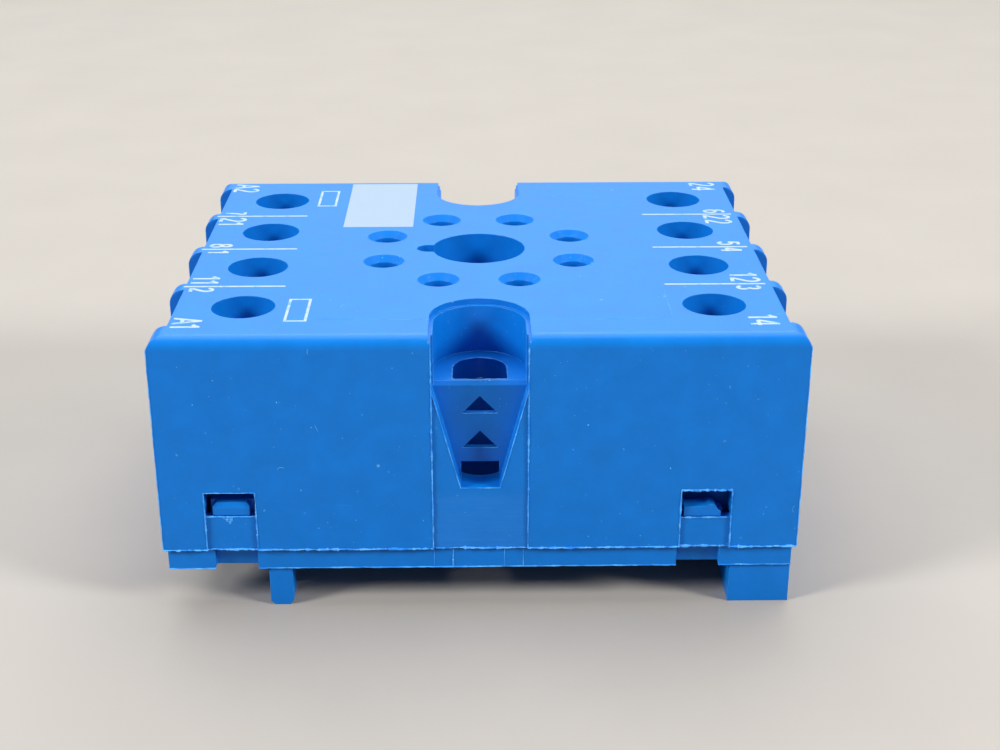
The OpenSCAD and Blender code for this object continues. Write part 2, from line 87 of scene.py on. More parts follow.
class SOCKET_PG_finish(PropertyGroup):
    plastic: colour("Plastic", "Colour of the moulded plastic", (0.002, 0.160, 0.58))
    # Besides thin flash, this colour paints the highlight along the plastic's edges.
    flash: colour("Flash", "Colour of thin flash and of stressed edges", (0.10, 0.47, 1.0))
    roughness: FloatProperty(
        name="Roughness", description="Roughness of the plastic", default=0.36, min=0, max=1
    )
    specular: FloatProperty(
        name="Specular", description="Strength of the plastic's reflection", default=0.20,
        min=0, max=1,
    )
    steel: colour("Steel", "Colour of zinc-plated steel", (0.46, 0.47, 0.49))
    brass: colour("Brass", "Colour of the tinned brass contacts", (0.80, 0.70, 0.46))
    spring: colour("Spring steel", "Colour of the bent spring", (0.42, 0.43, 0.45))
    edge: length("Edge", "Radius of the softened edges", 0.10)


class SOCKET_PG_print(PropertyGroup):
    ink: colour("Ink", "Colour of the print", (0.30, 0.40, 0.48))
    field: colour("Field", "Colour of the writing field", (0.22, 0.31, 0.42))
    height: length("Height", "Height of a contact number", 2.25)
    pin_height: length("Pin height", "Height of a pin number", 1.8)
    stroke: length("Stroke", "Width of a digit's stroke", 0.31)
    left_column: length("Left column", "Distance of the left numbers from the middle", 22.45)
    right_column: length("Right column", "Distance of the right numbers from the middle", 21.9)
    left_line: length("Left line", "Where the left dividing lines start", 15.75)
    right_line: length("Right line", "Where the right dividing lines start", 15.15)
    line_long: length("Line length", "Length of a dividing line", 8.25)
    line: length("Line", "Width of a dividing line", 0.28)
    film: length("Film", "Thickness of the ink", 0.012)


class SOCKET_PG_flash(PropertyGroup):
    radius: length("Radius", "Half the thickness of the flash", 0.07)
    step: length("Step", "Distance between two changes of its height", 0.09)
    seed: IntProperty(name="Seed", description="Start of the random draws", default=7)
    specks: IntProperty(name="Specks", description="Number of dust specks", default=520, min=0)
    fibres: IntProperty(name="Fibres", description="Number of short fibres", default=16, min=0)


class SOCKET_PG_stage(PropertyGroup):
    floor: colour("Floor", "Colour of the floor", (0.35, 0.33, 0.305))
    size: FloatProperty(name="Size", description="Width of the floor", default=2.4, unit="LENGTH")
    lens: FloatProperty(name="Lens", description="Focal length of the camera", default=57.94)
    camera: FloatVectorProperty(
        name="Camera", description="Place of the camera from the middle of the deck",
        default=(-0.23 * MM, -133.09 * MM, 44.60 * MM), subtype="TRANSLATION", unit="LENGTH",
    )
    look_down: FloatProperty(
        name="Look down", description="Angle of the camera below the horizon",
        default=math.radians(23.04), subtype="ANGLE", unit="ROTATION",
    )
    turn: FloatProperty(
        name="Turn", description="Angle of the camera round the vertical",
        default=math.radians(-0.90), subtype="ANGLE", unit="ROTATION",
    )


# ---------------------------------------------------------------- mesh helpers

def mesh_piece(name, bm, body, slot, *materials):
    """Turns a bmesh into a piece that rides on a body."""
    data = bpy.data.meshes.new(name)
    bmesh.ops.recalc_face_normals(bm, faces=bm.faces)
    bm.to_mesh(data)
    bm.free()
    for item in materials:
        data.materials.append(item)
    piece = bpy.data.objects.new(name, data)
    bpy.context.scene.collection.objects.link(piece)
    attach(piece, body)
    return piece


def welded(node):
    """The mesh of a CAD node with its split corners joined."""
    bm = bmesh.new()
    bm.from_mesh(frame["nodes"][node].data)
    bmesh.ops.remove_doubles(bm, verts=bm.verts, dist=0.002 * MM)
    return bm


def sharp_edges(node, keep, corner=math.radians(28)):
    """Ends of a node's sharp edges for which keep(a, b) holds."""
    bm = welded(node)
    found = []
    for edge in bm.edges:
        if len(edge.link_faces) != 2 or edge.calc_face_angle(0) < corner:
            continue
        a, b = (v.co.copy() for v in edge.verts)
        if keep(a, b):
            found.append((a, b))
    bm.free()
    return found


def add_ridge(bm, a, b, radius, step, rough, rng):
    """A thin ragged ridge of plastic from a to b."""
    count = max(1, round((b - a).length / step))
    along = (b - a).normalized()
    side = along.orthogonal().normalized()
    up = along.cross(side)
    rings = []
    size, slip = 1.0, Vector()
    for i in range(count + 1):
        middle = a.lerp(b, i / count)
        size += (1 - size) * 0.3 + rng.uniform(-0.45, 0.45) * rough
        size = min(max(size, 0.3), 1.8)
        spike = 1.5 if rng.random() < 0.05 * rough else 1.0
        slip = slip * 0.75 + (side * rng.uniform(-1, 1) + up * rng.uniform(-1, 1)) * (
            radius * rough * 0.22)
        rings.append([
            bm.verts.new(middle + slip + (side * math.cos(t) + up * math.sin(t)) * radius
                         * size * spike)
            for t in (math.tau * k / 5 for k in range(5))
        ])
    for low, high in zip(rings, rings[1:]):
        for k in range(5):
            bm.faces.new((low[k], low[(k + 1) % 5], high[(k + 1) % 5], high[k]))
    bm.faces.new(rings[0])
    bm.faces.new(rings[-1])


def on_plane(axis, value):
    """A test: both ends lie on the plane, on either side of the middle."""
    return lambda a, b: all(abs(abs(p[axis]) - value) < TOUCH for p in (a, b))


def at(axis, value):
    """A test: both ends lie at that value of one axis."""
    return lambda a, b: all(abs(p[axis] - value) < TOUCH for p in (a, b))


def abs_below(axis, most):
    """A test: the ends differ by less than most along one axis."""
    return lambda a, b: abs(a[axis] - b[axis]) < most


# ---------------------------------------------------------------- shader groups

# Scales of the surface detail, in cells of noise to a metre
# The first is the scale of the noise that breaks up the painted edge highlight.
EDGE_HIGHLIGHT_BREAKS = 1400
FINE_GRAIN, SINK, SMEAR = 9000, 160, 420
SPECK_CELLS, SPECK_PLACES, SCUFF_PATCHES = 900.0, 700, 110
SCUFF_TURN, SCUFF_STRETCH = (0.3, 0.2, 0.7), (90.0, 2600.0, 900.0)


def new_group(name, inputs, outputs):
    """A shader group with its sockets, and its input and output nodes."""
    tree = bpy.data.node_groups.new(name, "ShaderNodeTree")
    for label, kind, default in inputs:
        socket = tree.interface.new_socket(label, in_out="INPUT", socket_type=kind)
        socket.default_value = default
    for label, kind in outputs:
        tree.interface.new_socket(label, in_out="OUTPUT", socket_type=kind)
    return tree, tree.nodes.new("NodeGroupInput"), tree.nodes.new("NodeGroupOutput")


def add_node(tree, kind, feeds=None, **settings):
    """A node with its settings, and values or links on its inputs."""
    node = tree.nodes.new(kind)
    for key, value in settings.items():
        setattr(node, key, value)
    for key, value in (feeds or {}).items():
        if isinstance(value, bpy.types.NodeSocket):
            tree.links.new(value, node.inputs[key])
        else:
            node.inputs[key].default_value = value
    return node


def maths(tree, operation, a, b=0.0, clamp=False):
    node = add_node(tree, "ShaderNodeMath", {0: a, 1: b}, operation=operation, use_clamp=clamp)
    return node.outputs[0]


def noise(tree, place, scale, detail=2.0, rough=0.5):
    node = add_node(tree, "ShaderNodeTexNoise", {
        "Vector": place, "Scale": scale, "Detail": detail, "Roughness": rough,
    })
    return node.outputs["Fac"]


def ramp(tree, value, low, high):
    """Spreads low to high over 0 to 1."""
    node = add_node(tree, "ShaderNodeMapRange", {
        "Value": value, "From Min": low, "From Max": high,
    }, clamp=True)
    return node.outputs["Result"]


def blend_colours(tree, factor, a, b):
    node = add_node(tree, "ShaderNodeMix", {0: factor, 6: a, 7: b}, data_type="RGBA")
    return node.outputs[2]


def place_of(tree):
    return tree.nodes.new("ShaderNodeTexCoord").outputs["Object"]


def edge_group():
    """Edge light: where a corner is, as a mask for a painted edge highlight, and the normal of a
    softened corner.
    """
    tree, start, end = new_group(
        "Edge light",
        [("Radius", "NodeSocketFloat", 0.0001), ("Gain", "NodeSocketFloat", 3.0)],
        [("Mask", "NodeSocketFloat"), ("Normal", "NodeSocketVector")],
    )
    soft = add_node(tree, "ShaderNodeBevel", {"Radius": start.outputs["Radius"]}, samples=6)
    flat = tree.nodes.new("ShaderNodeNewGeometry")
    dot = add_node(tree, "ShaderNodeVectorMath", {
        0: soft.outputs["Normal"], 1: flat.outputs["Normal"],
    }, operation="DOT_PRODUCT")
    bent = maths(tree, "SUBTRACT", 1.0, dot.outputs["Value"])
    highlight_breaks = ramp(tree, noise(tree, place_of(tree), EDGE_HIGHLIGHT_BREAKS, 3), 0.34, 0.62)
    mask = maths(tree, "MULTIPLY", bent, start.outputs["Gain"], True)
    tree.links.new(maths(tree, "MULTIPLY", mask, highlight_breaks, True), end.inputs["Mask"])
    tree.links.new(soft.outputs["Normal"], end.inputs["Normal"])
    return tree


def grain_group():
    """Moulded grain: height of the fine surface, and a slow change of gloss."""
    tree, start, end = new_group(
        "Moulded grain",
        [("Scale", "NodeSocketFloat", 1.0)],
        [("Height", "NodeSocketFloat"), ("Gloss", "NodeSocketFloat")],
    )
    place = add_node(tree, "ShaderNodeVectorMath", {
        0: place_of(tree), 1: start.outputs["Scale"],
    }, operation="MULTIPLY")
    fine = noise(tree, place.outputs[0], FINE_GRAIN, 2)
    sink = noise(tree, place.outputs[0], SINK, 2)
    height = maths(tree, "ADD", maths(tree, "MULTIPLY", fine, 0.22), sink)
    tree.links.new(height, end.inputs["Height"])
    smear = noise(tree, place.outputs[0], SMEAR, 4, 0.62)
    tree.links.new(ramp(tree, smear, 0.32, 0.72), end.inputs["Gloss"])
    return tree


def dust_group():
    """Dust and scuffs: small bright specks and hair-fine scratches."""
    tree, start, end = new_group(
        "Dust and scuffs",
        [("Amount", "NodeSocketFloat", 0.5), ("Scratches", "NodeSocketFloat", 0.5)],
        [("Specks", "NodeSocketFloat"), ("Scuffs", "NodeSocketFloat")],
    )
    place = place_of(tree)
    cells = add_node(tree, "ShaderNodeTexVoronoi", {"Vector": place, "Scale": SPECK_CELLS})
    small = ramp(tree, cells.outputs["Distance"], 0.16, 0.05)
    rare = ramp(tree, noise(tree, place, SPECK_PLACES, 3, 0.7), 0.60, 0.66)
    specks = maths(tree, "MULTIPLY", small, rare)
    specks = maths(tree, "MULTIPLY", specks, start.outputs["Amount"], True)
    tree.links.new(specks, end.inputs["Specks"])
    long_way = add_node(tree, "ShaderNodeMapping", {
        "Vector": place, "Rotation": SCUFF_TURN, "Scale": SCUFF_STRETCH,
    })
    lines = ramp(tree, noise(tree, long_way.outputs[0], 1, 3, 0.6), 0.69, 0.75)
    patches = ramp(tree, noise(tree, place, SCUFF_PATCHES, 2), 0.46, 0.62)
    scuffs = maths(tree, "MULTIPLY", lines, patches)
    scuffs = maths(tree, "MULTIPLY", scuffs, start.outputs["Scratches"], True)
    tree.links.new(scuffs, end.inputs["Scuffs"])
    return tree


GROUP_MAKERS = {
    "Edge light": edge_group, "Moulded grain": grain_group, "Dust and scuffs": dust_group,
}


def use_group(tree, name, **feeds):
    made = bpy.data.node_groups.get(name) or GROUP_MAKERS[name]()
    return add_node(tree, "ShaderNodeGroup", feeds, node_tree=made)


# ---------------------------------------------------------------- materials

SPECK = (0.18, 0.52, 0.92)      # colour of settled dust on the plastic
DUST_DARK = (0.03, 0.26, 0.72)
DUST_LIGHT = (0.15, 0.52, 0.92)
RUBBED = (0.02, 0.18, 0.60)     # colour of the plastic where it is rubbed dull


def new_material(name):
    """A material with its node tree and its Principled shader."""
    made = bpy.data.materials.new(name)
    made.use_nodes = True
    tree = made.node_tree
    return made, tree, tree.nodes["Principled BSDF"]


def rgba(tint, gain=1.0):
    return (*(min(1.0, channel * gain) for channel in tint), 1.0)


STRIP_FADE = (5.2 * MM, 4.2 * MM)      # heights over the rim between which the rubbing sets in
STRIP_LINES = (500, 500, 6000)


def strip_mask(tree):
    """Where the low middle strip of a wall is dulled by rubbing, mostly in level lines."""
    place = place_of(tree)
    axes = add_node(tree, "ShaderNodeSeparateXYZ", {"Vector": place})
    x = maths(tree, "ABSOLUTE", axes.outputs["X"])
    inside = maths(tree, "LESS_THAN", x, STRIP_X)
    low = ramp(tree, axes.outputs["Z"], *(RIM_Z + height for height in STRIP_FADE))
    outer = maths(tree, "GREATER_THAN", maths(tree, "ABSOLUTE", axes.outputs["Y"]), FRONT_Y - MM)
    level = add_node(tree, "ShaderNodeMapping", {"Vector": place, "Scale": STRIP_LINES})
    lines = ramp(tree, noise(tree, level.outputs[0], 1, 3, 0.65), 0.35, 0.7)
    mask = maths(tree, "MULTIPLY", maths(tree, "MULTIPLY", inside, low), outer)
    part = maths(tree, "ADD", maths(tree, "MULTIPLY", lines, 0.4), 0.2)     # never quite bare
    return maths(tree, "MULTIPLY", mask, part, True)


def plastic(name, finish, grain=1.0, dust=0.5, scratches=0.5, edge_gain=2.6, strip=False):
    """Semi-gloss moulded plastic with softened edges and a painted highlight along them."""
    made, tree, shader = new_material(name)
    edge = use_group(tree, "Edge light", Radius=finish.edge, Gain=edge_gain)
    surface = use_group(tree, "Moulded grain", Scale=grain)
    dirt = use_group(tree, "Dust and scuffs", Amount=dust, Scratches=scratches)
    tone = blend_colours(
        tree, surface.outputs["Gloss"], rgba(finish.plastic, 0.93), rgba(finish.plastic, 1.06)
    )
    # Painted highlight: the edges are mixed towards the flash colour, as where they catch the
    # light.
    wear_and_edge_highlight = maths(tree, "MULTIPLY", edge.outputs["Mask"], 0.62)
    tone = blend_colours(tree, wear_and_edge_highlight, tone, rgba(finish.flash))
    tone = blend_colours(
        tree, maths(tree, "MULTIPLY", dirt.outputs["Scuffs"], 0.35), tone, rgba(finish.flash)
    )
    tone = blend_colours(
        tree, maths(tree, "MULTIPLY", dirt.outputs["Specks"], 0.7), tone, rgba(SPECK)
    )
    if strip:
        dull = strip_mask(tree)
        tone = blend_colours(tree, dull, tone, rgba(RUBBED))
    tree.links.new(tone, shader.inputs["Base Color"])
    shader.inputs["Specular IOR Level"].default_value = finish.specular
    gloss = maths(tree, "MULTIPLY", surface.outputs["Gloss"], 0.10)
    rough = maths(tree, "ADD", gloss, maths(tree, "MULTIPLY", dirt.outputs["Scuffs"], 0.15))
    tree.links.new(
        maths(tree, "ADD", rough, finish.roughness - 0.05, True), shader.inputs["Roughness"]
    )
    bump = add_node(tree, "ShaderNodeBump", {
        "Strength": 0.10, "Distance": 0.00004,
        "Height": surface.outputs["Height"], "Normal": edge.outputs["Normal"],
    })
    tree.links.new(bump.outputs["Normal"], shader.inputs["Normal"])
    return made


def flash_plastic(name, finish):
    """Thin flash: the same plastic, lighter because light gets through it."""
    made, tree, shader = new_material(name)
    place = place_of(tree)
    patch = ramp(tree, noise(tree, place, 900, 3), 0.35, 0.68)
    tone = blend_colours(tree, patch, rgba(finish.plastic, 1.3), rgba(finish.flash))
    tree.links.new(tone, shader.inputs["Base Color"])
    tree.links.new(
        maths(tree, "ADD", maths(tree, "MULTIPLY", patch, 0.2), 0.34), shader.inputs["Roughness"]
    )
    bump = add_node(tree, "ShaderNodeBump", {
        "Strength": 0.3, "Distance": 0.00003, "Height": noise(tree, place, 6000, 2),
    })
    tree.links.new(bump.outputs["Normal"], shader.inputs["Normal"])
    return made


def metal(name, tint, finish, low, high, stretch, stain=(1.0, 1.0, 1.0)):
    """Plated or rolled metal: fine lines one way, slow stains, and softened edges with a painted
    highlight.
    """
    made, tree, shader = new_material(name)
    place = place_of(tree)
    edge = use_group(tree, "Edge light", Radius=finish.edge, Gain=2.0)
    lines = add_node(tree, "ShaderNodeMapping", {"Vector": place, "Scale": stretch})
    brushed = noise(tree, lines.outputs[0], 1, 4, 0.6)
    cloud = ramp(tree, noise(tree, place, 500, 3), 0.35, 0.7)
    dull = rgba([a * b * 0.78 for a, b in zip(tint, stain)])
    tone = blend_colours(tree, cloud, dull, rgba(tint))
    # Painted highlight: the edges are lighter, as where they catch the light.
    tone = blend_colours(
        tree, maths(tree, "MULTIPLY", edge.outputs["Mask"], 0.5), tone, rgba(tint, 1.25)
    )
    tree.links.new(tone, shader.inputs["Base Color"])
    shader.inputs["Metallic"].default_value = 1.0
    rough = add_node(tree, "ShaderNodeMapRange", {
        "Value": brushed, "From Min": 0.3, "From Max": 0.7, "To Min": low, "To Max": high,
    })
    tree.links.new(rough.outputs["Result"], shader.inputs["Roughness"])
    bump = add_node(tree, "ShaderNodeBump", {
        "Strength": 0.25, "Distance": 0.00002, "Height": brushed,
        "Normal": edge.outputs["Normal"],
    })
    tree.links.new(bump.outputs["Normal"], shader.inputs["Normal"])
    return made


def ink(name, tint, base, cover):
    """Pad-printed ink, a little patchy, so that the plastic shows through in places."""
    made, tree, shader = new_material(name)
    place = place_of(tree)
    wear_and_edge_highlight = ramp(tree, noise(tree, place, 1500, 4, 0.65), cover - 0.18, cover)
    tone = blend_colours(tree, wear_and_edge_highlight, rgba(base, 1.5), rgba(tint))
    tree.links.new(tone, shader.inputs["Base Color"])
    tree.links.new(
        maths(tree, "ADD", maths(tree, "MULTIPLY", wear_and_edge_highlight, 0.12), 0.36), shader.inputs["Roughness"]
    )
    bump = add_node(tree, "ShaderNodeBump", {
        "Strength": 0.2, "Distance": 0.00002, "Height": noise(tree, place, 5000, 2),
    })
    tree.links.new(bump.outputs["Normal"], shader.inputs["Normal"])
    return made


def finish_node(node, made):
    """Puts one material on a CAD node in place of its own."""
    data = frame["nodes"][node].data
    data.materials.clear()
    data.materials.append(made)


# ---------------------------------------------------------------- operators

class SOCKET_OT_plastic(Operator):
    """Finishes the housing, the base and the rail latch"""
    bl_idname = "relay_socket.plastic"
    bl_label = "Plastic parts"

    def execute(self, context):
        finish = context.scene.socket_finish
        finish_node("housing", plastic("Housing plastic", finish, 1.0, 0.8, 0.7, strip=True))
        finish_node("base", plastic("Base plastic", finish, 1.1, 0.4, 0.4))
        finish_node("rail_latch", plastic("Latch plastic", finish, 1.2, 0.3, 0.8))
        return {"FINISHED"}


class SOCKET_OT_metal(Operator):
    """Finishes the contacts, the box clamps, the screws and the spring"""
    bl_idname = "relay_socket.metal"
    bl_label = "Metal parts"

    def execute(self, context):
        finish = context.scene.socket_finish
        brass = metal("Tinned brass", finish.brass, finish, 0.18, 0.34,
                      (900.0, 9000.0, 900.0), (0.9, 0.82, 0.7))
        clamp = metal("Clamp zinc", finish.steel, finish, 0.26, 0.44, (700.0, 700.0, 7000.0))
        screw = metal("Screw zinc", finish.steel, finish, 0.34, 0.50, (1200.0, 1200.0, 9000.0))
        spring = metal("Spring strip", finish.spring, finish, 0.2, 0.36, (900.0, 900.0, 12000.0),
                       (0.95, 0.92, 1.0))
        for i in TERMINALS:
            finish_node(f"contact_{i}", brass)
            finish_node(f"clamp_{i}", clamp)
            finish_node(f"screw_{i}", screw)
        finish_node("latch_spring", spring)
        return {"FINISHED"}


class SOCKET_OT_flash(Operator):
    """Raises ragged flash along the mould's parting edges"""
    bl_idname = "relay_socket.flash"
    bl_label = "Mould flash"

    def execute(self, context):
        scene = context.scene
        flash = scene.socket_flash
        made = flash_plastic("Flash plastic", scene.socket_finish)
        rng = random.Random(flash.seed)
        front = on_plane(1, FRONT_Y)
        rim = on_plane(2, RIM_Z)
        skirt = on_plane(2, mount("fixing_holes")["pos_m"][2])

        def ends(test, extra):
            return lambda a, b: test(a, b) and extra((a + b) / 2, b - a)

        jobs = [
            ("flash_face", "housing", ends(front, lambda m, d: m.z > RIM_Z + 0.2 * MM
                                           and abs(m.x) < COLUMN_X + 4 * MM), 0.7, 0.9),
            ("flash_rim", "housing", ends(rim, lambda m, d: abs(m.y) > FRONT_Y - 0.25 * MM),
             1.15, 1.0),
            ("flash_corner", "housing", ends(front, lambda m, d: abs(m.x) > COLUMN_X + 4 * MM
                                             and abs(d.z) > abs(d.x)), 0.55, 0.35),
            ("flash_panel", "housing", ends(on_plane(1, STRIP_Y), lambda m, d: (
                abs(m.x) < STRIP_X - MM and abs(d.x) > MM and m.z > RIM_Z + 5 * MM)), 0.55, 0.5),
            ("flash_arrow", "housing", ends(on_plane(1, PANEL_Y), lambda m, d: (
                abs(m.x) < MM and abs(d.z) < TOUCH and 7 * MM < m.z - RIM_Z < 12 * MM)),
             0.45, 0.4),
            ("flash_skirt", "base", ends(skirt, lambda m, d: abs(m.y) > FRONT_Y - 0.5 * MM),
             0.8, 0.7),
        ]
        for name, node, keep, size, rough in jobs:
            edges = sharp_edges(node, keep)
            if not edges:
                raise RuntimeError(f"{name}: the frame has no edge for it")
            bm = bmesh.new()
            for a, b in edges:
                add_ridge(bm, a, b, flash.radius * size, flash.step, rough, rng)
            mesh_piece(name, bm, "socket", "blue_plastic", made)
        return {"FINISHED"}


def mount(name):
    """One of the record's mounts by its name."""
    return next(m for m in frame["record"]["mounts"] if m["name"] == name)


def opening(name):
    """The lowest and highest corner of one of the record's openings."""
    return next(o["box_m"] for o in frame["record"]["physics"]["openings"] if o["name"] == name)


WINDOW_BLOBS, BRIDGE_BLOBS = 26, 70
SCUFF_HALF, SCUFF_LEFT = 0.62, 0.1      # millimetres: half width and shift of the bridge's scuff
BORE_HALF = 2.4 * MM
# Marks of the mould's inserts on the skirt: millimetres across, and share of the flash's radius
SKIRT_MARKS = ((-3.7, 0.5), (-2.18, 0.8), (1.89, 0.35), (3.4, 0.5))
# The same on the deck, from one point to another in millimetres
DECK_MARKS = (
    (-13.8, -16.9, -3.8, -17.3), (5.1, -17.5, 14.9, -17.1), (14.98, -9.2, 14.98, -17.0),
)
DECK_MARK_SIZE = 0.22


class SOCKET_OT_burrs(Operator):
    """Adds torn burrs at the windows and the screw bore, and the marks of the mould's inserts"""
    bl_idname = "relay_socket.burrs"
    bl_label = "Burrs and marks"

    def execute(self, context):
        scene = context.scene
        rng = random.Random(scene.socket_flash.seed + 2)
        made = flash_plastic("Burr plastic", scene.socket_finish)
        size = scene.socket_flash.radius
        level = abs_below(2, 0.05 * MM)

        wall = at(1, -FRONT_Y)
        tops = [e for e in sharp_edges("housing", lambda a, b: wall(a, b) and level(a, b))
                if 4.5 * MM < e[0].z - RIM_Z < 6 * MM and min(e[0].x, e[1].x) > STRIP_X]
        bm = bmesh.new()
        for a, b in tops:
            drop = Vector((0, size * 0.6, -size * 0.7))
            add_ridge(bm, a + drop, b + drop, size * 1.5, scene.socket_flash.step, 1.0, rng)
            for _ in range(WINDOW_BLOBS):
                spot = a.lerp(b, min(1, max(0, rng.gauss(0.42, 0.2)))) + drop
                add_blob(bm, spot, Vector((0, -1, 0)), rng.uniform(0.06, 0.14) * MM, rng)
        mesh_piece("window_burr", bm, "socket", "blue_plastic", made)

        bridges = [e for e in sharp_edges("housing", level)
                   if 2 * MM < e[0].z - RIM_Z < 3.2 * MM and e[0].y < -FRONT_Y + 0.5 * MM]
        bm = bmesh.new()
        for a, b in bridges:
            add_ridge(bm, a, b, size * 0.8, scene.socket_flash.step, 0.8, rng)
        left = min((e for e in bridges), key=lambda e: e[0].x + e[1].x)
        middle = (left[0] + left[1]) / 2
        for _ in range(BRIDGE_BLOBS):
            fall = rng.random()
            spread = (1 - fall) * SCUFF_HALF
            across = rng.uniform(-spread, spread * 0.6) - SCUFF_LEFT
            spot = middle + Vector((across, 0, -fall * SCUFF_HALF)) * MM
            add_blob(bm, spot, Vector((0, -1, 0)), rng.uniform(0.03, 0.07) * MM, rng)
        mesh_piece("bridge_scuff", bm, "socket", "blue_plastic", made)

        floor_z = opening("front_screw_notch")[0][2] - 0.05 * MM
        bore = [e for e in sharp_edges("housing", at(2, floor_z))
                if max(abs(p.x) for p in e) < BORE_HALF and e[0].y < 0]
        bm = bmesh.new()
        for a, b in bore:
            add_ridge(bm, a, b, size * 0.5, scene.socket_flash.step, 1.0, rng)
        mesh_piece("bore_burr", bm, "socket", "blue_plastic", made)

        foot_z = mount("fixing_holes")["pos_m"][2]
        skirt_y = -FRONT_Y + 0.3 * MM
        marks = [((x * MM, skirt_y, foot_z), (x * MM, skirt_y, RIM_Z - 0.1 * MM), wide)
                 for x, wide in SKIRT_MARKS]
        marks += [((x0 * MM, y0 * MM, DECK_Z), (x1 * MM, y1 * MM, DECK_Z), DECK_MARK_SIZE)
                  for x0, y0, x1, y1 in DECK_MARKS]
        bm = bmesh.new()
        for a, b, wide in marks:
            add_ridge(bm, Vector(a), Vector(b), size * wide, scene.socket_flash.step, 0.5, rng)
        mesh_piece("insert_marks", bm, "socket", "blue_plastic", made)
        return {"FINISHED"}


SPECK_SIZES = (0.018, 0.024, 0.03, 0.03, 0.045)     # millimetres, half across
FIBRE_STEP, FIBRE_RADIUS = 0.11 * MM, 0.014 * MM


class SOCKET_OT_dust(Operator):
    """Scatters dust specks and a few fibres over the housing"""
    bl_idname = "relay_socket.dust"
    bl_label = "Dust"

    def execute(self, context):
        scene = context.scene
        rng = random.Random(scene.socket_flash.seed + 1)
        dust = dust_material()
        bm_house = welded("housing")
        bmesh.ops.triangulate(bm_house, faces=bm_house.faces)
        spots = []
        for face in bm_house.faces:
            weight = dust_weight(face.normal, face.calc_center_median())
            if weight:
                corners = [v.co.copy() for v in face.verts]
                spots.append((face.calc_area() * weight, corners, face.normal.copy()))
        bm_house.free()
        areas = [spot[0] for spot in spots]

        def draw_spot():
            _, corners, normal = rng.choices(spots, areas)[0]
            u, v = sorted((rng.random(), rng.random()))
            return corners[0] * u + corners[1] * (v - u) + corners[2] * (1 - v), normal

        bm = bmesh.new()
        for _ in range(scene.socket_flash.specks):
            spot, normal = draw_spot()
            add_blob(bm, spot, normal, rng.choice(SPECK_SIZES) * MM, rng)
        mesh_piece("dust_specks", bm, "socket", "blue_plastic", dust)

        bm = bmesh.new()
        for _ in range(scene.socket_flash.fibres):
            spot, normal = draw_spot()
            way = normal.orthogonal().normalized()
            way.rotate(Matrix.Rotation(rng.uniform(0, math.tau), 3, normal))
            bend = rng.uniform(-1.2, 1.2)
            path = [spot]
            for _ in range(rng.randint(3, 6)):
                way.rotate(Matrix.Rotation(bend * rng.uniform(0.2, 0.5), 3, normal))
                path.append(path[-1] + way * FIBRE_STEP)
            for a, b in zip(path, path[1:]):
                add_ridge(bm, a, b, FIBRE_RADIUS, MM, 0.2, rng)
        mesh_piece("dust_fibres", bm, "socket", "blue_plastic", dust)
        return {"FINISHED"}


def dust_weight(normal, middle):
    """How much dust a face of the housing holds."""
    depth = DECK_Z - middle.z
    in_notch = abs(middle.x) < STRIP_X and abs(middle.y) > FRONT_Y - 8.3 * MM
    if 0.3 < normal.z < 0.95 and depth < 0.6 * MM and middle.length < DECK_Z * 1.2:
        return 14 if middle.y < 0 else 3
    if in_notch and depth < 6 * MM and middle.y < 0:
        return 5
    if abs(normal.y) > 0.9 and abs(middle.y) > FRONT_Y - 0.3 * MM:
        return 1
    if normal.z > 0.9 and depth < 0.1 * MM:
        return 0.35
    return 0


def add_blob(bm, spot, normal, size, rng):
    """An uneven speck lying on a face."""
    turn = normal.to_track_quat("Z", "Y").to_matrix().to_4x4()
    spin = Matrix.Rotation(rng.uniform(0, math.tau), 4, "Z")
    shape = Matrix.Diagonal((size * rng.uniform(0.7, 1.9), size, size * 0.6, 1))
    made = bmesh.ops.create_icosphere(
        bm, subdivisions=1, radius=1, matrix=Matrix.Translation(spot) @ turn @ spin @ shape
    )
    for vert in made["verts"]:
        vert.co += Vector(rng.uniform(-1, 1) for _ in range(3)) * size * 0.2


def dust_material():
    made, tree, shader = new_material("Dust")
    place = place_of(tree)
    patch = ramp(tree, noise(tree, place, 700, 2), 0.35, 0.65)
    tone = blend_colours(tree, patch, rgba(DUST_DARK), rgba(DUST_LIGHT))
    tree.links.new(tone, shader.inputs["Base Color"])
    tree.links.new(maths(tree, "ADD", maths(tree, "MULTIPLY", patch, 0.2), 0.6),
                   shader.inputs["Roughness"])
    bump = add_node(tree, "ShaderNodeBump", {
        "Strength": 0.4, "Distance": 0.00001, "Height": noise(tree, place, 20000, 2),
    })
    tree.links.new(bump.outputs["Normal"], shader.inputs["Normal"])
    return made


# Places on the deck in millimetres
FIELD_X, FIELD_Y = (-12.2, -5.9), (6.1, 19.8)
SIGN_X, SIGN_Y = (-15.1, -13.3), (12.5, 17.5)


